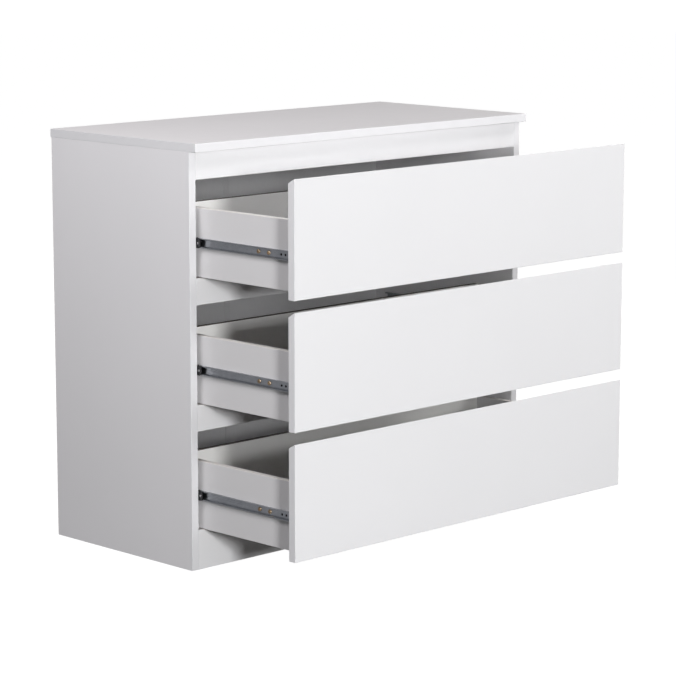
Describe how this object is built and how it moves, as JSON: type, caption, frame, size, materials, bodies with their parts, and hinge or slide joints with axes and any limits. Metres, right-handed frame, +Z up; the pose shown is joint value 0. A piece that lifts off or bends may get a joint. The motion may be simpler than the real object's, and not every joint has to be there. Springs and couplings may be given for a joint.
{
  "type": "chest of drawers",
  "caption": "Low wide chest of drawers in white faced board: overlay fronts with a sloped finger grip along the top edge, side-mounted ball-bearing slides, two-part thin back.",
  "frame": {"origin": "on the floor, under the middle of the plinth board, mid-width and 8 mm behind the carcass's front plane", "axes": "+X to the right as seen from the front, +Y to the back, +Z up; drawers open towards -Y"},
  "size_m": [0.9, 0.68, 0.8],
  "materials": {
    "carcass_board": "satin",
    "front_board": "satin",
    "drawer_board": "satin",
    "drawer_bottom_board": "matte",
    "back_board": "matte",
    "white_plastic": "satin",
    "zinc_steel": "satin",
    "yellow_zinc": "satin",
    "steel_ball": "polished",
    "cam_casting": "matte",
    "cage_plastic": "satin"
  },
  "bodies": {
    "carcass": {"top_panel": "carcass_board", "side_panel_left": "carcass_board", "side_panel_right": "carcass_board", "plinth_front": "carcass_board", "plinth_rear": "carcass_board", "front_rail_under_middle_drawer": "carcass_board", "front_rail_under_top_drawer": "carcass_board", "front_rail_under_top_panel": "carcass_board", "back_panel_left": "back_board", "back_panel_right": "back_board", "back_joint_strip": "white_plastic", "cabinet_slide_bottom_left": "zinc_steel", "cabinet_slide_bottom_right": "zinc_steel", "cabinet_slide_middle_left": "zinc_steel", "cabinet_slide_middle_right": "zinc_steel", "cabinet_slide_top_left": "zinc_steel", "cabinet_slide_top_right": "zinc_steel"},
    "drawer_bottom": {"drawer_front_bottom": "front_board", "drawer_back_bottom": "drawer_board", "drawer_bottom_bottom": "drawer_bottom_board", "drawer_side_bottom_left": "drawer_board", "drawer_slide_bottom_left": "zinc_steel", "slide_screw_bottom_left_1": "yellow_zinc", "slide_screw_bottom_left_2": "yellow_zinc", "drawer_side_bottom_right": "drawer_board", "drawer_slide_bottom_right": "zinc_steel", "slide_screw_bottom_right_1": "yellow_zinc", "slide_screw_bottom_right_2": "yellow_zinc"},
    "drawer_middle": {"drawer_front_middle": "front_board", "drawer_back_middle": "drawer_board", "drawer_bottom_middle": "drawer_bottom_board", "drawer_side_middle_left": "drawer_board", "drawer_slide_middle_left": "zinc_steel", "slide_screw_middle_left_1": "yellow_zinc", "slide_screw_middle_left_2": "yellow_zinc", "drawer_side_middle_right": "drawer_board", "drawer_slide_middle_right": "zinc_steel", "slide_screw_middle_right_1": "yellow_zinc", "slide_screw_middle_right_2": "yellow_zinc"},
    "drawer_top": {"drawer_front_top": "front_board", "drawer_back_top": "drawer_board", "drawer_bottom_top": "drawer_bottom_board", "drawer_side_top_left": "drawer_board", "drawer_slide_top_left": "zinc_steel", "slide_screw_top_left_1": "yellow_zinc", "slide_screw_top_left_2": "yellow_zinc", "drawer_side_top_right": "drawer_board", "drawer_slide_top_right": "zinc_steel", "slide_screw_top_right_1": "yellow_zinc", "slide_screw_top_right_2": "yellow_zinc"},
    "ball_cages_bottom": {"ball_cage_bottom_left": "cage_plastic", "ball_cage_bottom_right": "cage_plastic"},
    "ball_cages_middle": {"ball_cage_middle_left": "cage_plastic", "ball_cage_middle_right": "cage_plastic"},
    "ball_cages_top": {"ball_cage_top_left": "cage_plastic", "ball_cage_top_right": "cage_plastic"}
  },
  "joints": [
    {"name": "drawer_bottom_slide", "type": "slide", "parent": "carcass", "child": "drawer_bottom", "axis": [0, -1, 0], "range_m": [-0.26, 0]},
    {"name": "ball_cages_bottom_slide", "type": "slide", "parent": "carcass", "child": "ball_cages_bottom", "axis": [0, -1, 0], "range_m": [-0.13, 0]},
    {"name": "drawer_middle_slide", "type": "slide", "parent": "carcass", "child": "drawer_middle", "axis": [0, -1, 0], "range_m": [-0.26, 0]},
    {"name": "ball_cages_middle_slide", "type": "slide", "parent": "carcass", "child": "ball_cages_middle", "axis": [0, -1, 0], "range_m": [-0.13, 0]},
    {"name": "drawer_top_slide", "type": "slide", "parent": "carcass", "child": "drawer_top", "axis": [0, -1, 0], "range_m": [-0.26, 0]},
    {"name": "ball_cages_top_slide", "type": "slide", "parent": "carcass", "child": "ball_cages_top", "axis": [0, -1, 0], "range_m": [-0.13, 0]}
  ],
  "couplings": [
    {"joint": "ball_cages_bottom_slide", "follows": "drawer_bottom_slide", "ratio": 0.5},
    {"joint": "ball_cages_middle_slide", "follows": "drawer_middle_slide", "ratio": 0.5},
    {"joint": "ball_cages_top_slide", "follows": "drawer_top_slide", "ratio": 0.5}
  ]
}
